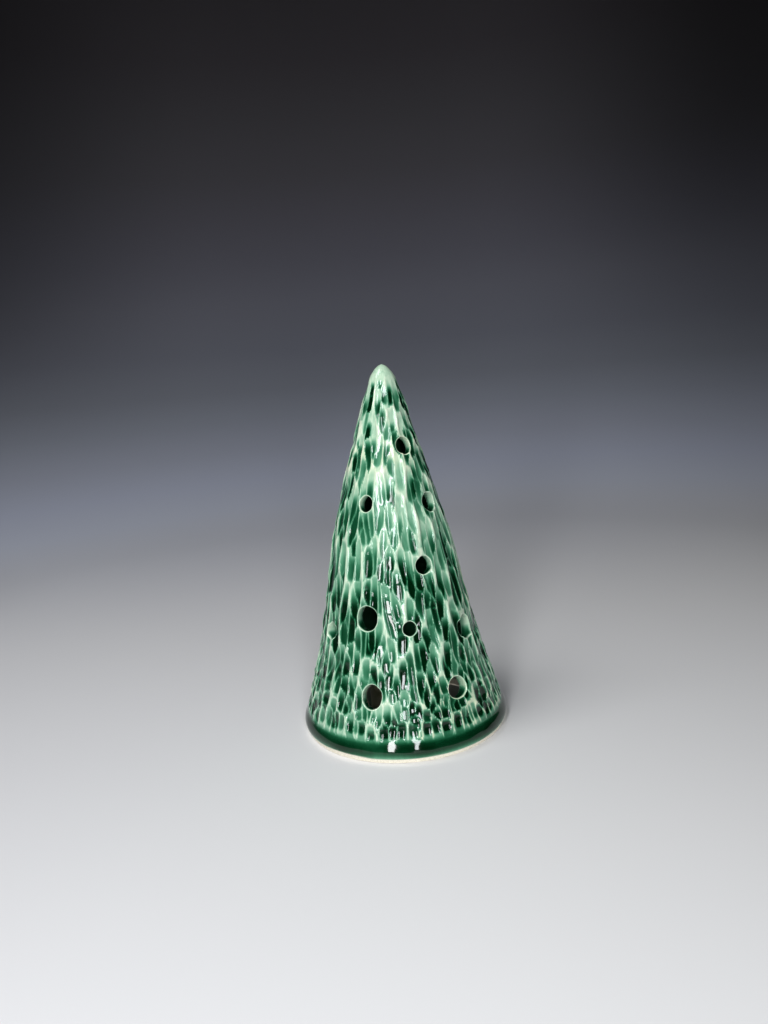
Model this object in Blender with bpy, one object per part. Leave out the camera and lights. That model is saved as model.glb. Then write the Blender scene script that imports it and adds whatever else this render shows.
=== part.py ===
"""Christmas tree luminary: a hand-carved, glazed ceramic cone with round light
holes that stands over a battery tea light.  Metres, +Z up.  The origin is on
the table, on the cone's axis.  -Y is the front."""

import math

import bmesh
import bpy
from mathutils import Matrix, Vector

MM = 0.001

# ---------------------------------------------------------------- cone shell
TREE_HEIGHT = 190.0
TREE_MAX_RADIUS = 55.0
FOOT_OUTER_RADIUS = 53.2
FOOT_INNER_RADIUS = 46.6
WALL_AT_FOOT = 7.4
WALL_AT_TOP = 5.6
INNER_APEX_Z = 173.0
SHELL_SEGMENTS = 64
HOLE_SIDES = 20

# outer outline of the cone: height above the table, radius
OUTER_OUTLINE = (
    (0.0, FOOT_OUTER_RADIUS),
    (1.3, 53.7),
    (3.2, 54.6),
    (5.6, TREE_MAX_RADIUS),
    (8.4, 54.6),
    (13.3, 52.8),
    (24.6, 49.4),
    (41.8, 44.3),
    (64.6, 39.0),
    (87.4, 34.4),
    (110.1, 29.5),
    (132.9, 23.4),
    (155.7, 16.2),
    (172.8, 10.4),
    (181.5, 7.6),
    (185.6, 6.2),
    (188.4, 4.4),
    (189.7, 2.1),
    (TREE_HEIGHT, 0.0),
)

# light holes: degrees round from the front towards +X, height, diameter
LIGHT_HOLES = (
    (31.6, 149.8, 8.4),
    (-28.5, 122.9, 7.6),
    (52.0, 120.9, 10.0),
    (26.5, 91.6, 8.8),
    (-24.4, 67.8, 11.4),
    (7.5, 62.5, 7.0),
    (57.7, 56.2, 12.2),
    (-60.5, 57.9, 8.4),
    (-19.9, 31.1, 11.0),
    (34.8, 30.9, 10.8),
    (98.0, 136.0, 7.6),
    (152.0, 116.0, 8.8),
    (208.0, 143.0, 8.0),
    (258.0, 118.0, 9.2),
    (112.0, 88.0, 9.8),
    (171.0, 78.0, 11.4),
    (226.0, 92.0, 8.2),
    (267.0, 82.0, 10.0),
    (98.0, 33.0, 9.0),
    (138.0, 50.0, 11.2),
    (188.0, 38.0, 8.6),
    (232.0, 52.0, 11.6),
    (262.0, 30.0, 10.4),
    (211.0, 25.0, 8.4),
)

# ---------------------------------------------------------------- tea light
HOUSING_RADIUS = 18.4
HOUSING_INNER_RADIUS = 17.2
HOUSING_HEIGHT = 18.8
FLAME_HOLE_RADIUS = 6.0
FLAME_STEM_RADIUS = 5.7
FLAME_TOP_Z = 39.5
PLATE_RADIUS = 16.9
PLATE_LOW_Z = 0.8
PLATE_TOP_Z = 2.2
CELL_X = -3.5
CELL_RADIUS = 10.0
CELL_LOW_Z = 2.9
CELL_THICKNESS = 3.2
HINGE_X = -14.6
HINGE_Z = 1.7
KNUCKLE_RADIUS = 0.9
SCREW_X = 8.9
SWITCH_X = 13.6
SWITCH_OFF_Y = -1.25
GAP = 0.3


def clear_scene():
    for old in list(bpy.data.objects):
        bpy.data.objects.remove(old, do_unlink=True)


def material(name, colour, roughness, metallic=0.0, transmission=0.0):
    made = bpy.data.materials.new(name)
    made.use_nodes = True
    shader = made.node_tree.nodes["Principled BSDF"]
    shader.inputs["Base Color"].default_value = (*colour, 1.0)
    shader.inputs["Roughness"].default_value = roughness
    shader.inputs["Metallic"].default_value = metallic
    shader.inputs["Transmission Weight"].default_value = transmission
    made.diffuse_color = (*colour, 1.0)
    return made


def add_object(name, bm, origin=(0.0, 0.0, 0.0), cutter=False, mat=None):
    """A bmesh given in millimetres becomes an object in metres, its origin at `origin` (also in mm)."""
    bmesh.ops.recalc_face_normals(bm, faces=bm.faces)
    bmesh.ops.translate(bm, verts=bm.verts, vec=-Vector(origin))
    bmesh.ops.scale(bm, verts=bm.verts, vec=(MM, MM, MM))
    mesh = bpy.data.meshes.new(name)
    bm.to_mesh(mesh)
    bm.free()
    obj = bpy.data.objects.new(name, mesh)
    obj.location = Vector(origin) * MM
    bpy.context.scene.collection.objects.link(obj)
    if cutter:
        obj.hide_render = True
        obj.display_type = "WIRE"
    if mat is not None:
        mesh.materials.append(mat)
    return obj


def shade(obj, angle=35.0):
    obj.data.shade_smooth()
    obj.data.set_sharp_from_angle(angle=math.radians(angle))


def boolean(obj, other, operation):
    step = obj.modifiers.new(operation.title() + "_" + other.name, "BOOLEAN")
    step.operation = operation
    step.solver = "EXACT"
    step.object = other


def ring(bm, radius, z, segments, x=0.0, y=0.0):
    return [
        bm.verts.new(
            (
                x + radius * math.cos(2 * math.pi * i / segments),
                y + radius * math.sin(2 * math.pi * i / segments),
                z,
            )
        )
        for i in range(segments)
    ]


def band(bm, lower, upper):
    count = len(lower)
    for i in range(count):
        j = (i + 1) % count
        bm.faces.new((lower[i], lower[j], upper[j], upper[i]))


def fan(bm, loop, pole):
    count = len(loop)
    for i in range(count):
        bm.faces.new((loop[i], loop[(i + 1) % count], pole))


def lathe(outline, segments, x=0.0, y=0.0, closed=False):
    """Turns an outline of (radius, z) about the vertical through (x, y).  Radius 0 makes a pole.
    closed joins the last point back to the first, for a ring that has no pole."""
    bm = bmesh.new()
    rows = []
    for radius, z in outline:
        if radius <= 1e-6:
            rows.append(bm.verts.new((x, y, z)))
        else:
            rows.append(ring(bm, radius, z, segments, x, y))
    pairs = list(zip(rows, rows[1:]))
    if closed:
        pairs.append((rows[-1], rows[0]))
    for a, b in pairs:
        if isinstance(a, list) and isinstance(b, list):
            band(bm, a, b)
        elif isinstance(a, list):
            fan(bm, a, b)
        elif isinstance(b, list):
            fan(bm, b, a)
    return bm


def box(low, high):
    bm = bmesh.new()
    bmesh.ops.create_cube(bm, size=1.0)
    for v in bm.verts:
        v.co = Vector(
            tuple(low[k] + (v.co[k] + 0.5) * (high[k] - low[k]) for k in range(3))
        )
    return bm


def rounded_plate(low, high, radius, steps=4):
    """A box whose four vertical edges are rounded."""
    bm = bmesh.new()
    (x0, y0, z0), (x1, y1, z1) = low, high
    points = []
    for cx, cy, start in (
        (x1 - radius, y1 - radius, 0.0),
        (x0 + radius, y1 - radius, 90.0),
        (x0 + radius, y0 + radius, 180.0),
        (x1 - radius, y0 + radius, 270.0),
    ):
        for k in range(steps + 1):
            a = math.radians(start + 90.0 * k / steps)
            points.append((cx + radius * math.cos(a), cy + radius * math.sin(a)))
    base = bm.faces.new([bm.verts.new((px, py, z0)) for px, py in points])
    grown = bmesh.ops.extrude_face_region(bm, geom=[base])
    top = [g for g in grown["geom"] if isinstance(g, bmesh.types.BMVert)]
    bmesh.ops.translate(bm, verts=top, vec=(0.0, 0.0, z1 - z0))
    return bm


def rod(start, end, radius, sides, radius_end=None):
    """A closed cylinder between two points."""
    a, b = Vector(start), Vector(end)
    along = b - a
    bm = bmesh.new()
    bmesh.ops.create_cone(
        bm,
        cap_ends=True,
        segments=sides,
        radius1=radius,
        radius2=radius if radius_end is None else radius_end,
        depth=along.length,
    )
    turn = Vector((0, 0, 1)).rotation_difference(along).to_matrix().to_4x4()
    bmesh.ops.transform(
        bm, matrix=Matrix.Translation((a + b) / 2) @ turn, verts=bm.verts
    )
    return bm


def merged(parts):
    """Several separate closed shapes in one mesh, for a cutter."""
    whole = bmesh.new()
    for part in parts:
        mesh = bpy.data.meshes.new("part")
        bmesh.ops.recalc_face_normals(part, faces=part.faces)
        part.to_mesh(mesh)
        part.free()
        whole.from_mesh(mesh)
        bpy.data.meshes.remove(mesh)
    return whole


def joined(name, first, others, mat, origin=(0.0, 0.0, 0.0), cutters=()):
    """first, united with the others and cut by the cutters, one Boolean each."""
    obj = add_object(name, first, origin=origin, mat=mat)
    for index, other in enumerate(others):
        boolean(obj, add_object(f"{name}_add_{index}", other, cutter=True), "UNION")
    for index, cutter in enumerate(cutters):
        boolean(
            obj, add_object(f"{name}_cut_{index}", cutter, cutter=True), "DIFFERENCE"
        )
    return obj


# ------------------------------------------------------------ cone geometry
def smooth_outline(z):
    """Radius of the outer outline at height z: monotone cubic through OUTER_OUTLINE."""
    points = OUTER_OUTLINE
    z = min(max(z, points[0][0]), points[-1][0])
    slopes = [
        (points[k + 1][1] - points[k][1]) / (points[k + 1][0] - points[k][0])
        for k in range(len(points) - 1)
    ]

    def tangent(k):
        if k == 0:
            return slopes[0]
        if k == len(points) - 1:
            return slopes[-1]
        a, b = slopes[k - 1], slopes[k]
        return 0.0 if a * b <= 0 else 2 * a * b / (a + b)

    for k in range(len(points) - 1):
        z0, r0 = points[k]
        z1, r1 = points[k + 1]
        if z <= z1:
            h = z1 - z0
            t = (z - z0) / h
            return (
                (2 * t**3 - 3 * t**2 + 1) * r0
                + (t**3 - 2 * t**2 + t) * h * tangent(k)
                + (-2 * t**3 + 3 * t**2) * r1
                + (t**3 - t**2) * h * tangent(k + 1)
            )
    return points[-1][1]


def slope_at(z):
    return (smooth_outline(z + 0.6) - smooth_outline(z - 0.6)) / 1.2


def wall_at(z):
    share = min(max(z / 150.0, 0.0), 1.0)
    return WALL_AT_FOOT + (WALL_AT_TOP - WALL_AT_FOOT) * share


def inner_radius(z):
    lean = math.sqrt(1.0 + slope_at(max(z, 12.0)) ** 2)
    return smooth_outline(max(z, 9.0)) - wall_at(z) * lean


def make_tree_shell():
    outer_z = [0.0, 0.7, 1.6, 3.0, 4.6, 6.4, 8.4, 11.0, 15.0, 21.0, 29.0, 39.0]
    outer_z += [50.0, 64.0, 79.0, 94.0, 109.0, 124.0, 138.0, 151.0, 163.0, 173.0]
    outer_z += [180.0, 184.2, 187.0, 188.8, 189.7]
    outer = [(smooth_outline(z), z) for z in outer_z] + [(0.0, TREE_HEIGHT)]
    inner_z = [9.0, 20.0, 32.0, 46.0, 64.0, 86.0, 108.0, 130.0, 148.0, 160.0]
    inner = [(FOOT_INNER_RADIUS, 0.0), (FOOT_INNER_RADIUS - 0.1, 2.0)]
    inner += [(inner_radius(z), z) for z in inner_z]
    inner += [(4.3, 166.0), (2.3, 170.6), (0.0, INNER_APEX_Z)]
    outline = list(reversed(outer)) + inner
    shell = add_object(
        "tree_shell",
        lathe(outline, SHELL_SEGMENTS),
        mat=material("green_glazed_ceramic", (0.16, 0.42, 0.27), 0.12),
    )
    drills = []
    for degrees, z, diameter in LIGHT_HOLES:
        a = math.radians(degrees)
        lean = math.atan(-slope_at(z))
        out = Vector(
            (
                math.sin(a) * math.cos(lean),
                -math.cos(a) * math.cos(lean),
                math.sin(lean),
            )
        )
        at = Vector(
            (math.sin(a) * smooth_outline(z), -math.cos(a) * smooth_outline(z), z)
        )
        depth = wall_at(z) + 2.5
        drills.append(rod(at - out * depth, at + out * 3.0, diameter / 2, HOLE_SIDES))
    boolean(
        shell,
        add_object("light_hole_drills", merged(drills), cutter=True),
        "DIFFERENCE",
    )
    shade(shell)
    return shell


# ----------------------------------------------------------- tea light parts
def make_candle_housing():
    outline = [
        (17.9, 0.0),
        (18.3, 0.4),
        (HOUSING_RADIUS, 1.2),
        (18.3, 16.6),
        (18.1, 17.7),
        (17.6, 18.5),
        (16.9, HOUSING_HEIGHT),
        (16.2, 18.4),
        (15.3, 17.4),
        (13.4, 16.6),
        (10.6, 16.2),
        (8.4, 16.1),
        (7.2, 16.4),
        (6.5, 16.8),
        (FLAME_HOLE_RADIUS, 16.7),
        (FLAME_HOLE_RADIUS, 14.8),
        (14.6, 15.0),
        (16.4, 15.6),
        (HOUSING_INNER_RADIUS, 14.8),
        (HOUSING_INNER_RADIUS, 0.0),
    ]
    housing = add_object(
        "candle_housing",
        lathe(outline, 40, closed=True),
        mat=material("ivory_plastic", (0.86, 0.80, 0.66), 0.38),
    )
    shade(housing)
    return housing


def make_flame_lens():
    outline = [
        (0.0, FLAME_TOP_Z),
        (0.55, 39.1),
        (1.3, 37.4),
        (2.4, 34.4),
        (3.6, 31.0),
        (4.7, 27.2),
        (5.35, 23.6),
        (5.6, 20.2),
        (FLAME_STEM_RADIUS, 17.4),
        (FLAME_STEM_RADIUS, 14.4),
        (7.4, 14.4),
        (7.4, 13.4),
        (4.7, 13.4),
        (4.7, 19.0),
        (4.5, 23.0),
        (3.8, 27.0),
        (2.6, 31.0),
        (1.3, 34.2),
        (0.0, 35.8),
    ]
    lens = add_object(
        "flame_lens",
        lathe(outline, 28),
        mat=material("frosted_flame", (0.95, 0.86, 0.62), 0.35, transmission=0.6),
    )
    shade(lens)
    return lens


def make_led_emitter():
    outline = [(0.0, 23.5), (0.9, 23.3), (1.75, 22.7), (2.3, 21.8), (2.5, 20.8)]
    outline += [(2.5, 15.8), (2.9, 15.8), (2.9, 14.8), (0.0, 14.8)]
    led = add_object(
        "led_emitter",
        lathe(outline, 24),
        mat=material("led_epoxy", (0.95, 0.80, 0.45), 0.15, transmission=0.5),
    )
    shade(led)
    return led


def make_led_holder():
    disc = lathe([(0.0, 8.2), (16.6, 8.2), (16.6, 7.0), (0.0, 7.0)], 48)
    post = rod((0, 0, 7.6), (0, 0, 14.5), 4.0, 24)
    legs = [
        rod((px, py, 2.5), (px, py, 7.6), 1.1, 12)
        for px, py in ((6.0, 12.3), (6.0, -12.3), (-10.6, 11.2), (-10.6, -11.2))
    ]
    cutters = [
        rod((0, 0, 8.2), (0, 0, 15.5), 2.3, 24),
        box((-1.9, 0.0, 8.9), (-0.6, 5.0, 15.5)),
        box((0.0, -0.65, 8.9), (5.0, 0.65, 15.5)),
        merged(
            [
                box((-5.4, 9.9, 6.0), (0.2, 11.0, 9.0)),
                box((13.2, -0.7, 6.0), (14.5, 0.7, 9.0)),
            ]
        ),
    ]
    holder = joined(
        "led_holder",
        disc,
        [post, merged(legs)],
        material("white_plastic_inner", (0.82, 0.82, 0.80), 0.5),
        cutters=cutters,
    )
    shade(holder)
    return holder


def wire(name, points, radius, mat):
    curve = bpy.data.curves.new(name, "CURVE")
    curve.dimensions = "3D"
    curve.bevel_depth = radius * MM
    curve.bevel_resolution = 2
    curve.use_fill_caps = True
    spline = curve.splines.new("POLY")
    spline.points.add(len(points) - 1)
    for point, at in zip(spline.points, points):
        point.co = (at[0] * MM, at[1] * MM, at[2] * MM, 1.0)
    obj = bpy.data.objects.new(name, curve)
    bpy.context.scene.collection.objects.link(obj)
    curve.materials.append(mat)
    return obj


def rounded_route(corners, bend):
    """The corners of a wire with each inner corner replaced by a short arc of points."""
    points = [Vector(corners[0])]
    for before, at, after in zip(corners, corners[1:], corners[2:]):
        at = Vector(at)
        a = at + (Vector(before) - at).normalized() * bend
        b = at + (Vector(after) - at).normalized() * bend
        for k in range(5):
            t = k / 4
            points.append(a * (1 - t) ** 2 + at * 2 * t * (1 - t) + b * t**2)
    points.append(Vector(corners[-1]))
    return points


def make_leads():
    tinned = material("tinned_wire", (0.75, 0.74, 0.70), 0.3, 1.0)
    wire(
        "anode_lead",
        rounded_route([(-1.27, 0, 14.5), (-1.27, 0, 9.5), (-1.27, 9.95, 9.5)], 0.9),
        0.25,
        tinned,
    )
    tinned_too = material("tinned_wire_short", (0.75, 0.74, 0.70), 0.3, 1.0)
    wire(
        "cathode_lead",
        rounded_route(
            [(1.27, 0, 14.5), (1.27, 0, 9.5), (13.85, 0, 9.5), (13.85, 0, 4.9)], 0.9
        ),
        0.25,
        tinned_too,
    )


def make_base_plate():
    disc = lathe(
        [
            (0.0, PLATE_TOP_Z),
            (PLATE_RADIUS, PLATE_TOP_Z),
            (PLATE_RADIUS, PLATE_LOW_Z + 0.3),
            (PLATE_RADIUS - 0.3, PLATE_LOW_Z),
            (0.0, PLATE_LOW_Z),
        ],
        64,
    )
    cell_wall = rod((CELL_X, 0, 1.6), (CELL_X, 0, 6.0), 11.8, 48)
    screw_boss = rounded_plate((6.2, -4.4, 1.6), (11.0, 4.4, 6.0), 0.8)
    ears = merged(
        [
            box((-15.4, -6.8, 1.4), (-13.4, -4.6, 3.3)),
            box((-15.4, 4.6, 1.4), (-13.4, 6.8, 3.3)),
        ]
    )
    cutters = [
        rod((CELL_X, 0, 0.0), (CELL_X, 0, 7.0), CELL_RADIUS + 0.5, 48),
        box((HINGE_X - 1.2, -4.5, 0.0), (-11.0, 4.5, 2.9)),
        rod((HINGE_X, -6.1, HINGE_Z), (HINGE_X, 6.1, HINGE_Z), 0.75, 16),
        box((4.0, -2.7, 0.0), (10.9, 2.7, 2.5)),
        rod((SCREW_X, 0, 2.0), (SCREW_X, 0, 5.6), 1.2, 20),
        rounded_plate((12.3, -2.95, 0.0), (14.9, 2.95, 3.0), 0.4),
        box((-5.6, 9.6, 2.2), (-0.2, 12.4, 7.0)),
    ]
    plate = joined(
        "base_plate",
        disc,
        [cell_wall, screw_boss, ears],
        material("ivory_plastic_base", (0.84, 0.78, 0.64), 0.42),
        cutters=cutters,
    )
    shade(plate)
    return plate


def make_battery_door():
    low, high = PLATE_LOW_Z, PLATE_TOP_Z
    disc = rod((CELL_X, 0, low), (CELL_X, 0, high), CELL_RADIUS + 0.2, 48)
    others = [
        box((HINGE_X, -4.2, low), (-10.0, 4.2, high)),
        rod((HINGE_X, -4.2, HINGE_Z), (HINGE_X, 4.2, HINGE_Z), KNUCKLE_RADIUS, 16),
        rod((HINGE_X, -5.8, HINGE_Z), (HINGE_X, 5.8, HINGE_Z), 0.45, 12),
        rounded_plate((2.0, -2.4, low), (10.6, 2.4, high), 0.9),
    ]
    cutters = [
        rod((SCREW_X, 0, 0.0), (SCREW_X, 0, 1.75), 1.75, 24),
        rod((SCREW_X, 0, 1.0), (SCREW_X, 0, 3.0), 1.1, 20),
        merged([box((x, -3.2, 0.0), (x + 0.7, 3.2, 1.05)) for x in (2.2, 3.9, 5.6)]),
    ]
    door = joined(
        "battery_door",
        disc,
        others,
        material("ivory_plastic_door", (0.84, 0.78, 0.64), 0.42),
        origin=(HINGE_X, 0.0, HINGE_Z),
        cutters=cutters,
    )
    shade(door)
    return door


def make_door_screw(door):
    screw = joined(
        "door_screw",
        lathe(
            [
                (0.0, 5.2),
                (0.45, 5.2),
                (0.8, 4.7),
                (0.8, 1.45),
                (1.4, 1.45),
                (1.4, 1.1),
                (1.1, 0.9),
                (0.0, 0.9),
            ],
            24,
            x=SCREW_X,
        ),
        [],
        material("steel_screw", (0.62, 0.62, 0.63), 0.28, 1.0),
        origin=(SCREW_X, 0.0, HINGE_Z),
        cutters=[
            box((SCREW_X - 0.85, -0.17, 0.5), (SCREW_X + 0.85, 0.17, 1.2)),
            box((SCREW_X - 0.17, -0.85, 0.5), (SCREW_X + 0.17, 0.85, 1.2)),
        ],
    )
    shade(screw)
    screw.parent = door
    screw.location = ((SCREW_X - HINGE_X) * MM, 0.0, 0.0)
    return screw


def make_coin_cell():
    low, high = CELL_LOW_Z, CELL_LOW_Z + CELL_THICKNESS
    cell = add_object(
        "coin_cell",
        lathe(
            [
                (0.0, high),
                (8.6, high),
                (8.9, high - 0.25),
                (9.55, high - 0.45),
                (CELL_RADIUS, high - 0.9),
                (CELL_RADIUS, low + 0.35),
                (9.65, low),
                (0.0, low),
            ],
            48,
            x=CELL_X,
        ),
        origin=(CELL_X, 0.0, low),
        mat=material("cell_steel", (0.70, 0.70, 0.71), 0.25, 1.0),
    )
    shade(cell)
    return cell


def make_contacts():
    joined(
        "positive_contact",
        box((-4.8, 10.3, 2.6), (-2.2, 10.6, 8.2)),
        [box((-4.8, 10.3, 7.6), (-0.6, 10.6, 9.9))],
        material("brass_contact_positive", (0.72, 0.56, 0.26), 0.3, 1.0),
    )
    joined(
        "negative_contact",
        box((-9.0, -1.4, 6.4), (11.2, 1.4, 6.7)),
        [
            box((10.6, -1.4, 6.4), (11.9, 2.6, 6.7)),
            box((11.6, 0.3, 4.9), (11.9, 2.6, 6.7)),
        ],
        material("brass_contact_negative", (0.72, 0.56, 0.26), 0.3, 1.0),
    )


def make_switch():
    y = SWITCH_OFF_Y
    slider = joined(
        "switch_slider",
        rounded_plate((11.6, y - 4.4, 2.5), (15.4, y + 4.4, 3.7), 0.8),
        [
            rounded_plate(
                (SWITCH_X - 0.95, y - 1.35, 0.35), (SWITCH_X + 0.95, y + 1.35, 3.0), 0.3
            )
        ],
        material("black_switch_plastic", (0.03, 0.03, 0.03), 0.45),
        origin=(SWITCH_X, y, PLATE_LOW_Z),
        cutters=[
            merged(
                [
                    box((12.0, y + k - 0.17, 0.0), (15.2, y + k + 0.17, 0.75))
                    for k in (-0.75, 0.0, 0.75)
                ]
            )
        ],
    )
    shade(slider)
    joined(
        "switch_wiper",
        box((12.2, y - 1.0, 4.0), (13.3, y + 1.0, 4.3)),
        [
            box((12.2, y - 1.0, 4.0), (12.5, y + 1.0, 5.7)),
            box((13.0, y - 1.0, 4.0), (13.3, y + 1.0, 5.7)),
        ],
        material("brass_wiper", (0.72, 0.56, 0.26), 0.3, 1.0),
        origin=(SWITCH_X, y, PLATE_LOW_Z),
    )


def main():
    clear_scene()
    make_tree_shell()
    make_candle_housing()
    make_flame_lens()
    make_led_emitter()
    make_led_holder()
    make_leads()
    make_base_plate()
    make_door_screw(make_battery_door())
    make_coin_cell()
    make_contacts()
    make_switch()
    bpy.context.view_layer.update()


main()
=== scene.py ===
import math

import bpy
import numpy as np
from mathutils import Matrix, Vector


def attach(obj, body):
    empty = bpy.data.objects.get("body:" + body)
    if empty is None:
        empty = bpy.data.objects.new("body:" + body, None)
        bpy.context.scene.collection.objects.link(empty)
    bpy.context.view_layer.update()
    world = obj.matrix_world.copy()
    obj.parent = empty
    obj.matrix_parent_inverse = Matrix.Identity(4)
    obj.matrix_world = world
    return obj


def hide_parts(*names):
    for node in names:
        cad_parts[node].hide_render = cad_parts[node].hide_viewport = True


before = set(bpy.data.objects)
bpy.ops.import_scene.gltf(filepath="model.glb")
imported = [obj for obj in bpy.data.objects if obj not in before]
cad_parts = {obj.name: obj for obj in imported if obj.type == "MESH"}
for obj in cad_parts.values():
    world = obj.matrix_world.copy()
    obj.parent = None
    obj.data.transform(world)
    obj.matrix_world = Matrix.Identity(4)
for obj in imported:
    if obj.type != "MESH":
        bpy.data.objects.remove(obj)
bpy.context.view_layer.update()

MM = 0.001

# ------------------------------------------------------------------ camera
FOCAL_PX = 769.0
FRAME_W, FRAME_H = 768, 1024
CAMERA_AT = (0.0, -396.3, 186.0)
YAW, PITCH, ROLL = -0.529, 10.296, -4.287


def make_camera():
    yaw, pitch, roll = (math.radians(v) for v in (YAW, PITCH, ROLL))
    ahead = Vector(
        (
            math.sin(yaw) * math.cos(pitch),
            math.cos(yaw) * math.cos(pitch),
            -math.sin(pitch),
        )
    )
    right0 = Vector((math.cos(yaw), -math.sin(yaw), 0.0))
    up0 = right0.cross(ahead)
    right = math.cos(roll) * right0 + math.sin(roll) * up0
    up = -math.sin(roll) * right0 + math.cos(roll) * up0
    data = bpy.data.cameras.new("photo_camera")
    data.sensor_width = 36.0
    data.sensor_fit = "AUTO"
    data.lens = FOCAL_PX / FRAME_H * 36.0
    data.clip_start = 0.01
    data.clip_end = 200.0
    cam = bpy.data.objects.new("photo_camera", data)
    bpy.context.scene.collection.objects.link(cam)
    turn = Matrix((right, up, -ahead)).transposed().to_4x4()
    cam.matrix_world = Matrix.Translation(Vector(CAMERA_AT) * MM) @ turn
    bpy.context.scene.camera = cam


make_camera()

# ------------------------------------------------- the cone's own geometry
TREE_HEIGHT = 190.0
FOOT_OUTER_RADIUS = 53.2
FOOT_INNER_RADIUS = 46.6
WALL_AT_FOOT = 7.4
WALL_AT_TOP = 5.6
INNER_APEX_Z = 173.0
OUTER_OUTLINE = (
    (0.0, FOOT_OUTER_RADIUS),
    (1.3, 53.7),
    (2.5, 54.4),
    (3.9, 54.9),
    (5.3, 54.95),
    (6.9, 54.6),
    (8.4, 54.0),
    (10.0, 53.2),
    (11.6, 52.7),
    (13.6, 52.3),
    (24.6, 49.4),
    (41.8, 44.3),
    (64.6, 39.0),
    (87.4, 34.4),
    (110.1, 29.5),
    (132.9, 23.1),
    (144.0, 19.5),
    (155.7, 16.0),
    (165.0, 13.1),
    (172.8, 10.7),
    (179.0, 8.6),
    (183.0, 7.0),
    (186.0, 5.2),
    (188.2, 3.3),
    (189.5, 1.45),
    (TREE_HEIGHT, 0.0),
)
# how much taller than wide the cutter left each of the first holes
HOLE_OVAL = (1.08, 1.18, 1.0, 1.08, 1.13, 1.07, 1.0, 1.10, 1.16, 0.94)
# light holes: degrees round from the front towards +X, height, diameter
LIGHT_HOLES = (
    (31.6, 149.8, 8.4),
    (-28.5, 122.9, 7.6),
    (52.0, 120.9, 10.0),
    (26.5, 91.6, 8.8),
    (-24.4, 67.8, 11.4),
    (7.5, 62.5, 7.0),
    (57.7, 56.2, 12.2),
    (-60.5, 57.9, 8.4),
    (-19.9, 31.1, 11.0),
    (34.8, 30.9, 10.8),
    (98.0, 136.0, 7.6),
    (152.0, 116.0, 8.8),
    (208.0, 143.0, 8.0),
    (258.0, 118.0, 9.2),
    (112.0, 88.0, 9.8),
    (171.0, 78.0, 11.4),
    (226.0, 92.0, 8.2),
    (267.0, 82.0, 10.0),
    (98.0, 33.0, 9.0),
    (138.0, 50.0, 11.2),
    (188.0, 38.0, 8.6),
    (232.0, 52.0, 11.6),
    (262.0, 30.0, 10.4),
    (211.0, 25.0, 8.4),
)


def monotone_table(points, step=0.05):
    """A dense table of the monotone cubic through (z, r) points."""
    slopes = [
        (points[k + 1][1] - points[k][1]) / (points[k + 1][0] - points[k][0])
        for k in range(len(points) - 1)
    ]

    def tangent(k):
        if k == 0:
            return slopes[0]
        if k == len(points) - 1:
            return slopes[-1]
        a, b = slopes[k - 1], slopes[k]
        return 0.0 if a * b <= 0 else 2 * a * b / (a + b)

    zs, rs = [], []
    for k in range(len(points) - 1):
        z0, r0 = points[k]
        z1, r1 = points[k + 1]
        h = z1 - z0
        t = np.linspace(0.0, 1.0, max(2, int(h / step) + 1))[:-1]
        zs.append(z0 + t * h)
        rs.append(
            (2 * t**3 - 3 * t**2 + 1) * r0
            + (t**3 - 2 * t**2 + t) * h * tangent(k)
            + (-2 * t**3 + 3 * t**2) * r1
            + (t**3 - t**2) * h * tangent(k + 1)
        )
    zs.append(np.array([points[-1][0]]))
    rs.append(np.array([points[-1][1]]))
    return np.concatenate(zs), np.concatenate(rs)


TABLE_Z, TABLE_R = monotone_table(OUTER_OUTLINE)


def outline_r(z):
    return np.interp(z, TABLE_Z, TABLE_R)


def slope_at(z):
    return (outline_r(np.asarray(z) + 0.6) - outline_r(np.asarray(z) - 0.6)) / 1.2


def wall_at(z):
    share = np.clip(np.asarray(z) / 150.0, 0.0, 1.0)
    return WALL_AT_FOOT + (WALL_AT_TOP - WALL_AT_FOOT) * share


def inner_r(z):
    z = np.asarray(z, float)
    low = outline_r(np.maximum(z, 9.0)) - wall_at(z) * np.sqrt(
        1.0 + slope_at(np.maximum(z, 12.0)) ** 2
    )
    return low


def smoothstep(a, b, x):
    t = np.clip((x - a) / (b - a), 0.0, 1.0)
    return t * t * (3 - 2 * t)


class Waves:
    """Smooth noise round the cone: a seeded sum of waves in angle and height, about -1 to 1."""

    def __init__(self, seed, count, turns, per_mm):
        rng = np.random.default_rng(seed)
        self.n = rng.integers(-turns, turns + 1, count)
        self.k = rng.normal(0.0, per_mm, count) * 2 * math.pi
        self.p = rng.uniform(0, 2 * math.pi, count)
        self.a = rng.uniform(0.5, 1.0, count)
        self.a /= np.sqrt((self.a**2).sum() / 2) * 1.8

    def __call__(self, phi, z):
        out = np.zeros(np.broadcast(phi, z).shape)
        for n, k, p, a in zip(self.n, self.k, self.p, self.a):
            out += a * np.sin(n * phi + k * z + p)
        return out


WOBBLE = Waves(3, 7, 4, 0.012)
RIPPLE = Waves(5, 14, 22, 0.05)
BAND_EDGE = Waves(9, 8, 9, 0.004)
FLOW = Waves(11, 16, 14, 0.02)


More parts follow.
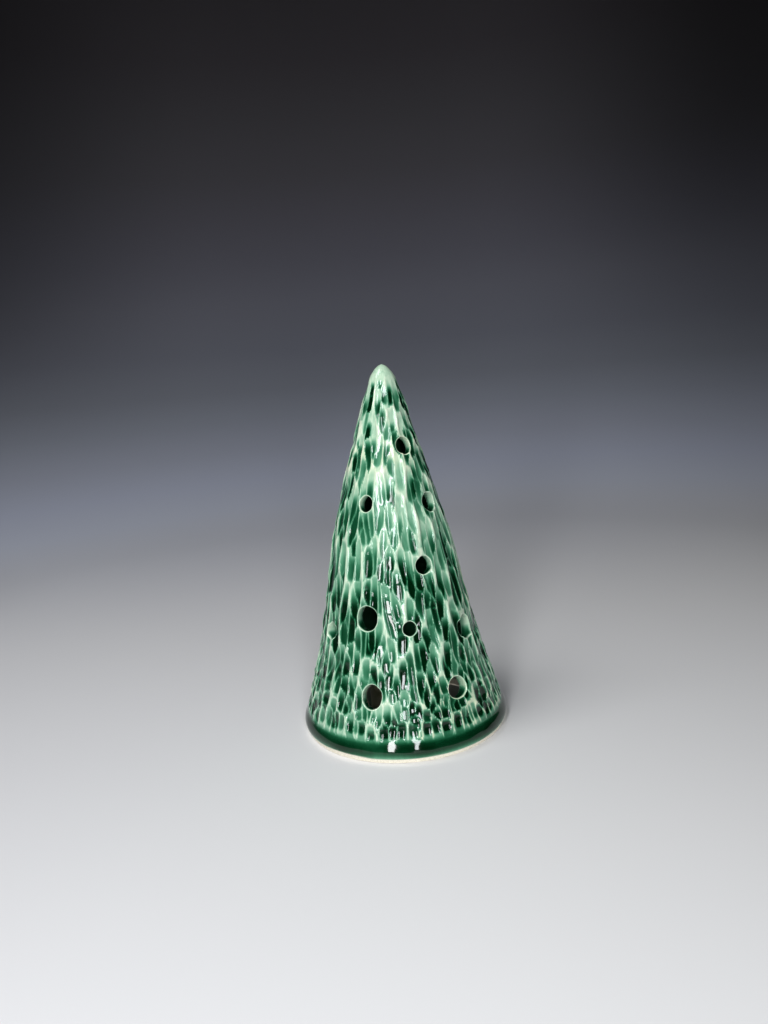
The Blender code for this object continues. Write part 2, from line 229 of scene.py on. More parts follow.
# ----------------------------------------------------------- carved strokes
def make_strokes():
    """Seeded carving strokes in staggered rows: (angle, height of the round foot, length, width, depth, tilt, tone, start, lean)."""
    rng = np.random.default_rng(20251)
    strokes = []
    z_end = 12.6
    row = 0
    phase = 0.0
    while z_end < 174.0:
        length = float(
            np.interp(z_end, [13, 24, 40, 70, 110, 140, 160, 178], [9.0, 12.5, 17.5, 22.0, 22.5, 20.0, 16.5, 13.0])
        )
        width = float(
            np.interp(z_end, [13, 40, 70, 110, 145, 178], [4.4, 4.8, 4.7, 4.4, 4.1, 3.9])
        )
        mid = z_end + 0.35 * length
        around = 2 * math.pi * float(outline_r(mid))
        count = max(6, round(around / (1.23 * width)))
        phase += math.pi / count + rng.normal(0.0, 0.06) * 2 * math.pi / count
        for k in range(count):
            phi = phase + 2 * math.pi * k / count
            phi += rng.normal(0.0, 0.20) * width / float(outline_r(mid))
            end = z_end + rng.normal(0.0, 0.22) * length
            if row == 0:
                end = z_end + rng.normal(0.0, 0.7)
            strokes.append(
                (
                    phi,
                    end,
                    length * rng.uniform(0.78, 1.30),
                    width * rng.uniform(0.84, 1.16),
                    float(np.interp(z_end, [13, 60, 130, 178], [0.80, 0.90, 0.78, 0.60]))
                    * rng.uniform(0.74, 1.20),
                    rng.normal(0.0, 0.06),
                    rng.uniform(),
                    rng.uniform(),
                    rng.uniform(-1.0, 1.0),
                )
            )
        z_end += float(np.interp(z_end, [13, 40, 80], [0.425, 0.45, 0.48])) * length
        row += 1
    return strokes


STROKES = make_strokes()
# the tool held flatter or steeper from stroke to stroke
PITCH = np.random.default_rng(404).normal(0.0, 0.016, len(STROKES))
RIDGE_SOFT = 0.09


def deepest_strokes(phi, z):
    """At each (phi, z): the deepest stroke's depth in mm, the next one's, and the
    deepest one's own coordinates and traits."""
    order = np.argsort(z, kind="stable")
    zs, ps = z[order], phi[order]
    rs = outline_r(zs)
    n = len(zs)
    best = np.full(n, -3.0)
    second = np.full(n, -3.5)
    along = np.zeros(n)
    across = np.zeros(n)
    index = np.full(n, 0)
    for i, (p0, end, length, width, deep, tilt, _, _, lean) in enumerate(STROKES):
        a, b = np.searchsorted(zs, [end - 2.6, end + length * 1.10])
        if a == b:
            continue
        d = (ps[a:b] - p0 + math.pi) % (2 * math.pi) - math.pi
        lateral = d * rs[a:b]
        near = np.abs(lateral) < 1.2 * width
        if not near.any():
            continue
        sel = np.nonzero(near)[0] + a
        up = (zs[sel] - end) * 1.035  # distance up the slope from the stroke's foot
        lateral = lateral[near] - tilt * up
        v = 1.0 - up / length  # 0 at the pointed top, 1 at the round foot
        ramp = 1.0 - 0.72 * (1.0 - np.clip(v / 0.60, 0.0, 1.0)) ** 1.7
        # the tool enters at a point, and leaves in a shallow rise
        ramp = ramp - 0.75 * np.clip(1.0 - v / 0.24, 0.0, 2.0) ** 1.6
        ramp = ramp - np.clip((v - 0.58) / 0.45, 0.0, 2.5) ** 2.3
        # the glaze has levelled the bottom nearly flat
        u = lateral / (0.5 * width)
        depth = deep * (ramp + 0.26 * lean * u - 0.10 * u**2 - 0.90 * u**4) + PITCH[i] * (v - 0.6) * length
        old = best[sel]
        wins = depth > old
        second[sel] = np.where(wins, old, np.maximum(second[sel], depth))
        won = sel[wins]
        best[won] = depth[wins]
        along[won] = v[wins]
        across[won] = (lateral / (0.5 * width))[wins]
        index[won] = i
    back_order = np.empty(n, int)
    back_order[order] = np.arange(n)
    return tuple(values[back_order] for values in (best, second, along, across, index))


TRAITS = np.array([s[6:9] for s in STROKES])


def stroke_field(phi, z, lips=True):
    """(depth, lip, along, across, tone, start, lean, edge): lip is 1 on the thin crest
    between two strokes, edge the distance to it in mm."""
    best, second, along, across, index = deepest_strokes(phi, z)
    gap = best - second
    # a soft maximum rounds the crests as the glaze does
    h = np.clip(1.0 - gap / (2 * RIDGE_SOFT), 0.0, 1.0)
    depth = best + h * h * RIDGE_SOFT * 0.5
    # land that no stroke reached stands a little proud
    depth = 0.5 * (depth + LAND + np.sqrt((depth + LAND) ** 2 + 0.02)) - LAND
    if not lips:
        return (depth,)
    step = 0.07
    b1, s1, _, _, _ = deepest_strokes(phi + step / outline_r(z), z)
    b2, s2, _, _, _ = deepest_strokes(phi, z + step)
    rate = np.hypot(b1 - s1 - gap, b2 - s2 - gap) / step
    edge = gap / np.maximum(rate, 0.30)
    # crests that run down the cone stay brighter than those across it
    share = np.abs(b1 - s1 - gap) / np.maximum(rate * step, 1e-6)
    lip = np.exp(-((edge / LIP_WIDTH) ** 2)) * (0.45 + 0.55 * smoothstep(0.10, 0.45, rate)) * (0.55 + 0.45 * np.clip(share, 0, 1))
    tone, start, lean = TRAITS[index].T
    return depth, lip, along, across, tone, start, lean, edge


LIP_WIDTH = 0.40
LAND = 0.30


def fade(z):
    """Where the carving stops: the tip and the band round the foot stay smooth."""
    return smoothstep(9.0, 12.5, z) * (1.0 - smoothstep(178.0, 187.0, z))


def bow(z):
    """The hand-built cone leans a little: sideways shift of its axis at height z, in mm."""
    return np.interp(z, [0, 40, 80, 115, 150, 175, 190], [0.0, -0.25, -0.7, -0.85, -0.3, 0.35, 0.6])


def outer_normal(phi, z):
    s = slope_at(z)
    n = np.sqrt(1 + s * s)
    return np.stack([np.sin(phi) / n, -np.cos(phi) / n, -s / n], axis=-1)


def outer_relief(phi, z, lips=True):
    """(inward displacement in mm, the attributes) for points of the outer surface."""
    depth, *rest = stroke_field(phi, z, lips)
    f = fade(z)
    depth = depth * f
    wob = 0.16 * WOBBLE(phi, z) * smoothstep(0.0, 12.0, z) * (1 - smoothstep(170, 188, z))
    rip = 0.035 * RIPPLE(phi, z) * smoothstep(2.0, 9.0, z) * (1 - smoothstep(180, 189, z))
    inward = depth + 0.20 + 0.25 * f + wob + rip
    inward *= smoothstep(-1.0, 3.0, z) * (1.0 - 0.85 * smoothstep(186, 190, z))
    return inward, (depth, *rest, f)


def place_outer(phi, z, inward):
    r = outline_r(z)
    at = np.stack([r * np.sin(phi), -r * np.cos(phi), z], axis=-1)
    at = at - outer_normal(phi, z) * inward[:, None]
    at[:, 0] += bow(z)
    at[:, 2] = np.maximum(at[:, 2], 0.0)
    return at


# ------------------------------------------------------------ the cone mesh
CELL_ACROSS = 0.46
CELL_DOWN = 0.86
ROW_COUNTS = (12, 24, 36, 48, 64, 80, 96, 120, 144, 168, 192, 224, 256, 288, 320, 360, 400, 440, 480, 520, 560, 600, 640, 680, 720, 760, 800)


def count_for(radius, cell):
    want = 2 * math.pi * radius / cell
    return min(ROW_COUNTS, key=lambda n: abs(n - want))


def outer_heights():
    """Heights of the rows, tip to foot, about CELL_DOWN apart along the outline."""
    z = np.linspace(TREE_HEIGHT, 0.0, 40001)
    r = outline_r(z)
    s = np.concatenate([[0.0], np.cumsum(np.hypot(np.diff(z), np.diff(r)))])
    marks = [0.35, 0.8, 1.3, 1.9]
    at = 2.6
    while at < s[-1] - 1.2:
        marks.append(at)
        here = np.interp(at, s, z)
        at += CELL_DOWN if here > 13 else 0.7
    return list(np.interp(marks, s, z)) + [0.75, 0.40]


class Mesh:
    def __init__(self):
        self.points, self.tris = [], []
        self.count = 0

    def add(self, pts):
        start = self.count
        self.points.append(np.asarray(pts, float))
        self.count += len(pts)
        return np.arange(start, self.count)


def zip_loops(mesh, a, angle_a, b, angle_b):
    """Triangles between two closed loops of points, each with rising angles over one turn."""
    na, nb = len(a), len(b)
    # start b at the point nearest to a's first
    diff = (np.asarray(angle_b) - angle_a[0] + math.pi) % (2 * math.pi) - math.pi
    j0 = int(np.argmin(np.abs(diff)))
    bb = np.roll(b, -j0)
    ab = np.unwrap(np.roll(angle_b, -j0))
    ab = ab - 2 * math.pi * round((ab[0] - angle_a[0]) / (2 * math.pi))
    aa = np.unwrap(angle_a)
    ea = np.append(aa, aa[0] + 2 * math.pi)
    eb = np.append(ab, ab[0] + 2 * math.pi)
    i = j = 0
    out = []
    while i < na or j < nb:
        if j >= nb or (i < na and ea[i + 1] <= eb[j + 1]):
            out.append((bb[j % nb], a[i % na], a[(i + 1) % na]))
            i += 1
        else:
            out.append((bb[j % nb], a[i % na], bb[(j + 1) % nb]))
            j += 1
    mesh.tris.append(np.array(out))


def strip(mesh, a, b, points=None):
    """Triangles between two rows of equal count.  Each quad is split along the flatter diagonal."""
    a1, b1 = np.roll(a, -1), np.roll(b, -1)
    if points is None:
        mesh.tris.append(np.stack([b, a, a1], 1))
        mesh.tris.append(np.stack([b, a1, b1], 1))
        return
    # depth values choose the diagonal: follow the ridges
    da, db = points[a], points[b]
    da1, db1 = points[a1], points[b1]
    first = np.abs(db - da1) <= np.abs(da - db1)
    t1 = np.where(first[:, None], np.stack([b, a, a1], 1), np.stack([b, a, b1], 1))
    t2 = np.where(first[:, None], np.stack([b, a1, b1], 1), np.stack([a, a1, b1], 1))
    mesh.tris.append(t1)
    mesh.tris.append(t2)


ATTRIBUTES = ("pool_and_painted_shade", "ridge", "tone", "zone", "bare")


def build_tree_mesh():
    mesh = Mesh()
    attr = {name: [] for name in ATTRIBUTES}

    def add(points, **values):
        ids = mesh.add(points)
        for name in ATTRIBUTES:
            attr[name].append(np.broadcast_to(np.asarray(values.get(name, 0.0), float), (len(points),)))
        return ids

    # --- rows of the outer surface, tip to foot
    rows = []  # (kind, ids, angles, z)
    heights = outer_heights()
    all_phi, all_z, spans = [], [], []
    for z in heights:
        n = count_for(float(outline_r(z)), CELL_ACROSS)
        phi = -math.pi + 2 * math.pi * np.arange(n) / n
        spans.append((len(all_phi), n))
        all_phi.append(phi)
        all_z.append(np.full(n, z))
    phi = np.concatenate(all_phi)
    zz = np.concatenate(all_z)
    inward, info = outer_relief(phi, zz)
    pts = place_outer(phi, zz, inward)
    shade = glaze_values(phi, zz, info)
    apex = add(np.array([[bow(190.0), 0.0, TREE_HEIGHT - 0.12]]), pool_and_painted_shade=0.28, ridge=0.3, tone=0.5)
    base = mesh.count
    ids_all = add(pts, **shade)
    depth_all = np.concatenate([[0.0], inward])  # index = vertex id for apex + outer points
    at = base
    for p, z in zip(all_phi, heights):
        ids = np.arange(at, at + len(p))
        at += len(p)
        rows.append((ids, p, z))
    outer_last = at
    # tip
    first_ids = rows[0][0]
    mesh.tris.append(np.stack([np.full(len(first_ids), apex[0]), first_ids, np.roll(first_ids, -1)], 1))
    for (a, pa, za), (b, pb, zb) in zip(rows, rows[1:]):
        if len(a) == len(b):
            strip(mesh, a, b, depth_all)
        else:
            zip_loops(mesh, a, pa, b, pb)

    # --- the foot: a small rounded edge, the flat ring, and the inner edge
    foot_rows = [
        (52.98, 0.22, 480), (52.78, 0.08, 480), (52.4, 0.0, 480),
        (51.2, 0.0, 360), (49.2, 0.0, 288), (47.6, 0.0, 256),
        (47.15, 0.0, 256), (46.85, 0.08, 256), (46.66, 0.28, 256), (46.58, 0.7, 256), (46.55, 1.6, 256),
    ]
    previous = rows[-1]
    wob_foot = Waves(31, 6, 5, 0.0)
    for r, z, n in foot_rows:
        p = -math.pi + 2 * math.pi * np.arange(n) / n
        rr = r + 0.12 * wob_foot(p, np.zeros(n)) * (1.0 if r > 50 else 0.5)
        ids = add(np.stack([rr * np.sin(p), -rr * np.cos(p), np.full(n, z)], 1), pool_and_painted_shade=0.1, ridge=0.0, tone=0.5,
                  zone=0.0 if r > 50 else 1.0, bare=1.0)
        row = (ids, p, z)
        if len(previous[0]) == n:
            strip(mesh, previous[0], ids)
        else:
            zip_loops(mesh, previous[0], previous[1], ids, p)
        previous = row

    # --- the inner surface, foot to inner tip
    inner_first = mesh.count
    z = 2.6
    inner_rows = []
    finger = Waves(17, 9, 3, 0.02)
    while z < 168.0:
        if z < 9.0:
            base_r = np.interp(z, [2.0, 9.0], [FOOT_INNER_RADIUS - 0.1, float(inner_r(9.0))])
        elif z <= 160.0:
            base_r = float(inner_r(z))
        else:
            base_r = np.interp(z, [160.0, 166.0, 170.6], [float(inner_r(160.0)), 4.3, 2.3])
        n = count_for(float(base_r), 1.45)
        p = -math.pi + 2 * math.pi * np.arange(n) / n
        # throwing rings: shallow spiral ridges left by the fingers
        rings = 0.16 * np.sin(z * 2 * math.pi / 6.4 + p) * smoothstep(6.0, 14.0, z) * (1 - smoothstep(150, 160, z))
        rr = base_r + rings + 0.10 * finger(p, np.full(n, z))
        # painted shade: the inside is glazed, and its glaze colour is made extra dark so the inside reads as deep shade
        ids = add(
            np.stack([rr * np.sin(p) + bow(z), -rr * np.cos(p), np.full(n, z)], 1),
            pool_and_painted_shade=np.full(n, 2.3) + 0.35 * finger(p * 1.0, np.full(n, z * 1.3)),
            ridge=0.0, tone=0.5, zone=1.0, bare=1.0 - smoothstep(7.0, 9.0, z + 0.9 * np.sin(3 * p) + 0.5 * np.sin(7 * p + 1)),
        )
        if len(previous[0]) == n:
            strip(mesh, previous[0], ids)
        else:
            zip_loops(mesh, previous[0], previous[1], ids, p)
        previous = (ids, p, z)
        inner_rows.append(previous)
        z += 1.5 if z > 9 else 1.1
    tip = add(np.array([[bow(173.0), 0.0, INNER_APEX_Z - 1.6]]), pool_and_painted_shade=1.3, tone=0.5, zone=1.0)
    ids = previous[0]
    mesh.tris.append(np.stack([ids, np.full(len(ids), tip[0]), np.roll(ids, -1)], 1)[:, [1, 0, 2]])

    points = np.concatenate(mesh.points)
    tris = np.concatenate(mesh.tris)[:, ::-1]  # faces out
    mesh.points, mesh.tris = [points], [tris]
    is_outer = np.zeros(len(points), bool)
    is_outer[:outer_last] = True

    # --- light holes
    gone = np.zeros(len(points), bool)
    holes = []
    rng = np.random.default_rng(77)
    for number, (degrees, hz, diameter) in enumerate(LIGHT_HOLES):
        oval = HOLE_OVAL[number] if number < len(HOLE_OVAL) else rng.uniform(0.95, 1.14)
        ph = rng.uniform(0, 2 * math.pi, 4)
        a = math.radians(degrees)
        lean = math.atan(-float(slope_at(hz)))
        out = np.array([math.sin(a) * math.cos(lean), -math.cos(a) * math.cos(lean), math.sin(lean)])
        centre = np.array([math.sin(a) * float(outline_r(hz)), -math.cos(a) * float(outline_r(hz)), hz])
        e1 = np.array([math.cos(a), math.sin(a), 0.0])  # towards +phi
        e2 = np.cross(out, e1)  # up the slope
        rel = points - centre
        t = rel @ out
        x, y = rel @ e1, rel @ e2
        rho = np.hypot(x, y)
        radius = diameter / 2

        def shape(turn, oval=oval, ph=ph):
            """Outline of the hole against its mean radius."""
            ellipse = 1.0 / np.sqrt(oval * np.cos(turn) ** 2 + np.sin(turn) ** 2 / oval)
            return ellipse * (
                1.0
                + 0.014 * np.sin(2 * turn + ph[0])
                + 0.012 * np.sin(3 * turn + ph[1])
                + 0.007 * np.sin(5 * turn + ph[2])
            )

        wall = float(wall_at(hz))
        rim = 0.62
        edge = radius * shape(np.arctan2(y, x))
        cut_outer = is_outer & (np.abs(t) < 6.0) & (rho < edge + rim + 0.26)
        # the inner face: the axis meets it about one wall down
        cut_inner = ~is_outer & (t < -1.0) & (t > -wall - 6.0) & (rho < edge + 0.5 + 0.75)
        gone |= cut_outer | cut_inner
        holes.append((number, centre, out, e1, e2, radius, wall, rim, shape))
    keep = ~gone[tris].any(axis=1)
    tris = tris[keep]
    mesh.tris = [tris]

    # boundary loops
    big = len(points) + 1
    codes = np.concatenate([tris[:, 0] * big + tris[:, 1], tris[:, 1] * big + tris[:, 2], tris[:, 2] * big + tris[:, 0]])
    back = np.concatenate([tris[:, 1] * big + tris[:, 0], tris[:, 2] * big + tris[:, 1], tris[:, 0] * big + tris[:, 2]])
    lone = codes[~np.isin(codes, back)]
    follow = {}
    for code in lone.tolist():
        follow.setdefault(code // big, []).append(code % big)
    loops = []
    while follow:
        start = next(iter(follow))
        loop = [start]
        here = follow[start].pop()
        if not follow[start]:
            del follow[start]
        while here != start:
            loop.append(here)
            nxt = follow[here].pop()
            if not follow[here]:
                del follow[here]
            here = nxt
        loops.append(np.array(loop))

    for number, centre, out, e1, e2, radius, wall, rim, shape in holes:
        k = max(40, 4 * round(radius * 2 * math.pi / 0.45 / 4))
        theta = 2 * math.pi * np.arange(k) / k
        uneven = shape(theta)

        def polar(ids):
            rel = points[ids] - centre
            return np.arctan2(rel @ e2, rel @ e1), np.hypot(rel @ e1, rel @ e2), rel @ out

        mine_outer = mine_inner = None
        for loop in loops:
            ang, rho, t = polar(loop)
            if rho.max() > radius + 4.5 or t.min() < -wall - 7 or t.max() > 4:
                continue
            if is_outer[loop[0]]:
                mine_outer = loop[::-1] if np.sum((np.diff(np.append(ang, ang[0])) + math.pi) % (2 * math.pi) - math.pi) < 0 else loop
            else:
                mine_inner = loop[::-1] if np.sum((np.diff(np.append(ang, ang[0])) + math.pi) % (2 * math.pi) - math.pi) < 0 else loop
        if mine_outer is None or mine_inner is None:
            raise RuntimeError(f"light hole {number} has no edge loop")

        def surface_t(rho_ring):
            """How far along the drill axis the carved surface lies, for a ring of that radius."""
            t = np.zeros(k)
            x = rho_ring * np.cos(theta)
            y = rho_ring * np.sin(theta)
            for _ in range(6):
                at = centre + x[:, None] * e1 + y[:, None] * e2 + t[:, None] * out
                z = at[:, 2]
                rad = np.hypot(at[:, 0] - bow(z), at[:, 1])
                phi = np.arctan2(at[:, 0] - bow(z), -at[:, 1])
                inward, _ = outer_relief(phi, z, lips=False)
                n = outer_normal(phi, z)
                miss = (rad - outline_r(z)) * np.hypot(n[:, 0], n[:, 1]) + inward
                t = t - miss / (n @ out)
            return t, phi, z, outer_relief(phi, z)[1]

        def inner_t(rho_ring):
            x = rho_ring * np.cos(theta)
            y = rho_ring * np.sin(theta)
            t = np.full(k, -wall)
            for _ in range(6):
                at = centre + x[:, None] * e1 + y[:, None] * e2 + t[:, None] * out
                z = at[:, 2]
                rad = np.hypot(at[:, 0] - bow(z), at[:, 1])
                phi = np.arctan2(at[:, 0] - bow(z), -at[:, 1])
                miss = rad - inner_r(np.maximum(z, 9.0))
                t = t - miss / math.cos(math.atan(-float(slope_at(centre[2]))))
            return t

        # the rim: from the carved surface over a soft glazed lip into the hole
        rings = []
        for share in (1.0, 0.70, 0.42, 0.20, 0.05):
            rho_ring = (radius * uneven) + rim * share
            t, phi, z, info = surface_t(rho_ring)
            drop = rim * 0.95 * (1.0 - math.sqrt(max(0.0, 1.0 - (1.0 - share) ** 2)))
            shade = glaze_values(phi, z, info)
            lip = float(np.interp(share, [0.05, 0.42, 0.8, 1.0], [0.7, 1.0, 0.8, 0.3]))
            shade["ridge"] = np.maximum(shade["ridge"], lip)
            shade["pool_and_painted_shade"] = shade["pool_and_painted_shade"] * share**1.3 + 0.55 * (1 - share**1.3)
            rings.append((rho_ring, t - drop, shade))
        t_low = rings[-1][1]
        t_in = inner_t(radius * uneven)
        # glaze ran down inside the hole and is thicker at its lower side; the wall also darkens further into the hole
        low_side = 0.5 - 0.5 * np.sin(theta)
        steps = 7
        for s in range(1, steps + 1):
            w = s / (steps + 1)
            pool_and_painted_shade = 0.30 + 2.6 * smoothstep(0.0, 0.30, np.full(k, w)) * smoothstep(0.52, 0.90, low_side) + 0.9 * w**2
            rings.append(
                (
                    radius * uneven * (1.0 - 0.012 * math.sin(math.pi * w)),
                    t_low * (1 - w) + (t_in + 0.5) * w,
                    dict(pool_and_painted_shade=pool_and_painted_shade, ridge=np.zeros(k), tone=np.full(k, 0.5), zone=np.full(k, 0.25 + 0.5 * w), bare=np.zeros(k)),
                )
            )
        for share in (0.15, 0.5, 1.0):
            drop = 0.5 * (1.0 - math.sqrt(max(0.0, 1.0 - (1.0 - share) ** 2)))
            rho_ring = radius * uneven + 0.5 * share
            rings.append(
                (
                    rho_ring,
                    inner_t(rho_ring) + drop,
                    dict(pool_and_painted_shade=np.full(k, 0.9), ridge=np.zeros(k), tone=np.full(k, 0.5), zone=np.ones(k), bare=np.zeros(k)),
                )
            )
        previous, prev_angle = mine_outer, polar(mine_outer)[0]
        for rho_ring, t, shade in rings:
            at = centre + (rho_ring * np.cos(theta))[:, None] * e1 + (rho_ring * np.sin(theta))[:, None] * e2 + t[:, None] * out
            ids = add(at, **shade)
            if len(previous) == k and previous is not mine_outer:
                strip(mesh, previous, ids)
            else:
                zip_loops(mesh, previous, prev_angle, ids, theta)
            previous, prev_angle = ids, theta
        zip_loops(mesh, previous, theta, mine_inner, polar(mine_inner)[0])

    points = np.concatenate([mesh.points[0]] + mesh.points[1:])
    tris = np.concatenate(mesh.tris)
    values = {name: np.concatenate(attr[name]) for name in ATTRIBUTES}
    # drop the points that the holes left unused
    used_ids, packed = np.unique(tris, return_inverse=True)
    return points[used_ids], packed.reshape(tris.shape), {n: v[used_ids] for n, v in values.items()}


# where the glaze ran off thin: degrees, height, spread in degrees, spread in mm
THIN_PLACES = ((4.0, 134.0, 25.0, 15.0), (30.0, 111.0, 20.0, 14.0), (-38.0, 136.0, 18.0, 12.0), (45.0, 86.0, 10.0, 9.0), (-14.0, 26.0, 9.0, 7.0), (150.0, 120.0, 26.0, 22.0), (-120.0, 96.0, 24.0, 16.0))


def glaze_values(phi, z, info):
    """Glaze thickness and the like for outer points."""
    depth, lip, along, across, tone, start, lean, edge, f = info
    deep = np.clip((depth + 0.10) / 0.88, 0.0, 1.25)
    # how far down the stroke the glaze gathers; nearer its foot up at the tip
    begin = -0.04 + 0.40 * start + np.interp(z, [90, 150], [0.0, 0.16])
    gather = smoothstep(0.0, 1.0, (along - begin) / np.interp(z, [90, 150], [0.46, 0.32]))
    # the pool leans to one side of the stroke and fills it nearly to its crest
    side = np.clip(1.0 - 0.55 * np.clip(across * np.sign(lean) - 0.1, 0, 1) * np.abs(lean), 0.3, 1.0)
    body = (0.30 + 0.70 * smoothstep(0.05, 0.55, deep)) * side
    base = np.interp(z, [16, 45, 80, 110, 145, 180], [0.94, 0.98, 0.90, 0.70, 0.50, 0.36])
    thin = np.zeros(len(z))
    for turn, height, wide, tall in THIN_PLACES:
        away = (phi - math.radians(turn) + math.pi) % (2 * math.pi) - math.pi
        thin = np.maximum(thin, np.exp(-((away / math.radians(wide)) ** 2) - ((z - height) / tall) ** 2))
    drift = np.clip(tone + 0.30 * FLOW(phi, z), 0.0, 1.15)
    rich = np.interp(z, [20, 70, 120, 158, 170, 178, 184], [1.16, 1.12, 1.00, 1.16, 1.22, 0.85, 0.20]) * (1.0 - 0.72 * thin)
    pool_and_painted_shade = base * (0.30 + 0.80 * smoothstep(0.0, 0.7, deep)) * (1.0 - 0.35 * thin) + (0.75 + 3.3 * drift**1.2) * gather * body * rich
    # below and above the carving: runs into the band round the foot, thin at the tip
    edge_z = z + 0.8 * BAND_EDGE(phi, z)
    band = np.interp(edge_z, [0, 2.4, 3.3, 4.4, 5.6, 7.6, 9.2, 10.8, 12.5], [0.9, 1.1, 1.7, 2.6, 3.5, 3.9, 3.3, 2.5, 1.7])
    plain = np.where(z < 60, band, 0.34)
    pool_and_painted_shade = pool_and_painted_shade * f + (1 - f) * plain
    bare_edge = 2.6 + 0.30 * BAND_EDGE(phi, z * 0 + 3.0)
    bare = 1.0 - smoothstep(bare_edge - 0.15, bare_edge + 0.2, z)
    return dict(pool_and_painted_shade=pool_and_painted_shade, ridge=lip * f * np.interp(z, [55, 110], [1.0, 0.87]), tone=tone, zone=np.zeros(len(z)), bare=bare)


def make_mesh_object(name, points_mm, tris, attributes=None, smooth=True):
    data = bpy.data.meshes.new(name)
    n, m = len(points_mm), len(tris)
    data.vertices.add(n)
    data.vertices.foreach_set("co", (np.asarray(points_mm) * MM).astype(np.float32).ravel())
    data.loops.add(3 * m)
    data.loops.foreach_set("vertex_index", np.ascontiguousarray(tris, np.int32).ravel())
    data.polygons.add(m)
    data.polygons.foreach_set("loop_start", np.arange(0, 3 * m, 3, dtype=np.int32))
    data.update(calc_edges=True)
    data.validate()
    if smooth:
        data.polygons.foreach_set("use_smooth", np.ones(len(data.polygons), bool))
    for key, values in (attributes or {}).items():
        layer = data.attributes.new(key, "FLOAT", "POINT")
        layer.data.foreach_set("value", np.asarray(values, np.float32))
    obj = bpy.data.objects.new(name, data)
    bpy.context.scene.collection.objects.link(obj)
    return obj


# ---------------------------------------------------------------- materials
def new_material(name):
    mat = bpy.data.materials.new(name)
    mat.use_nodes = True
    tree = mat.node_tree
    tree.nodes.clear()
    out = tree.nodes.new("ShaderNodeOutputMaterial")
    bsdf = tree.nodes.new("ShaderNodeBsdfPrincipled")
    tree.links.new(bsdf.outputs[0], out.inputs[0])
    return mat, tree, bsdf


class Kit:
    """Short calls for building a node tree."""

    def __init__(self, tree):
        self.tree = tree

    def node(self, kind, **settings):
        made = self.tree.nodes.new(kind)
        for key, value in settings.items():
            setattr(made, key, value)
        return made

    def link(self, a, b):
        self.tree.links.new(a, b)

    def put(self, socket, value):
        if isinstance(value, bpy.types.NodeSocket):
            self.tree.links.new(value, socket)
        else:
            socket.default_value = value

    def attribute(self, name):
        return self.node("ShaderNodeAttribute", attribute_name=name).outputs["Fac"]

    def math(self, op, a, b=0.0, c=0.0, clamp=False):
        made = self.node("ShaderNodeMath", operation=op, use_clamp=clamp)
        self.put(made.inputs[0], a)
        self.put(made.inputs[1], b)
        self.put(made.inputs[2], c)
        return made.outputs[0]

    def noise(self, vector, scale, detail=3.0, rough=0.5, distortion=0.0):
        made = self.node("ShaderNodeTexNoise")
        self.put(made.inputs["Vector"], vector)
        made.inputs["Scale"].default_value = scale
        made.inputs["Detail"].default_value = detail
        made.inputs["Roughness"].default_value = rough
        made.inputs["Distortion"].default_value = distortion
        return made.outputs["Fac"]

    def voronoi(self, vector, scale, feature="F1", randomness=1.0):
        made = self.node("ShaderNodeTexVoronoi", feature=feature)
        self.put(made.inputs["Vector"], vector)
        made.inputs["Scale"].default_value = scale
        made.inputs["Randomness"].default_value = randomness
        return made.outputs["Distance"]

    def coords(self, scale=(1, 1, 1)):
        tc = self.node("ShaderNodeTexCoord")
        mapping = self.node("ShaderNodeMapping")
        mapping.inputs["Scale"].default_value = scale
        self.link(tc.outputs["Object"], mapping.inputs["Vector"])
        return mapping.outputs[0]

    def range(self, value, a, b, c, d, smooth=False):
        made = self.node("ShaderNodeMapRange", clamp=True)
        if smooth:
            made.interpolation_type = "SMOOTHSTEP"
        self.put(made.inputs["Value"], value)
        made.inputs["From Min"].default_value = a
        made.inputs["From Max"].default_value = b
        made.inputs["To Min"].default_value = c
        made.inputs["To Max"].default_value = d
        return made.outputs["Result"]

    def ramp(self, value, stops, mode="LINEAR"):
        made = self.node("ShaderNodeValToRGB")
        made.color_ramp.interpolation = mode
        elements = made.color_ramp.elements
        while len(elements) < len(stops):
            elements.new(0.5)
        for element, (at, colour) in zip(elements, stops):
            element.position = at
            element.color = (*colour, 1.0)
        self.put(made.inputs["Fac"], value)
        return made.outputs["Color"]

    def mix(self, factor, a, b, mode="MIX"):
        made = self.node("ShaderNodeMix", data_type="RGBA", blend_type=mode, clamp_factor=True)
        self.put(made.inputs["Factor"], factor)
        sockets = [s for s in made.inputs if s.type == "RGBA"]
        for socket, value in zip(sockets, (a, b)):
            if isinstance(value, tuple):
                value = (*value, 1.0) if len(value) == 3 else value
            self.put(socket, value)
        return [s for s in made.outputs if s.type == "RGBA"][0]

    def bump(self, height, strength, distance, normal=None):
        made = self.node("ShaderNodeBump")
        made.inputs["Strength"].default_value = strength
        made.inputs["Distance"].default_value = distance
        self.put(made.inputs["Height"], height)
        if normal is not None:
            self.link(normal, made.inputs["Normal"])
        return made.outputs["Normal"]


GLAZE_CLEAR = (0.79, 0.835, 0.67)  # glaze too thin to tint the clay much
GLAZE_ABSORB = (1.86, 0.98, 1.24)  # how fast each colour dies with thickness


def glaze_colour(thickness):
    return tuple(c * math.exp(-k * thickness) for c, k in zip(GLAZE_CLEAR, GLAZE_ABSORB))


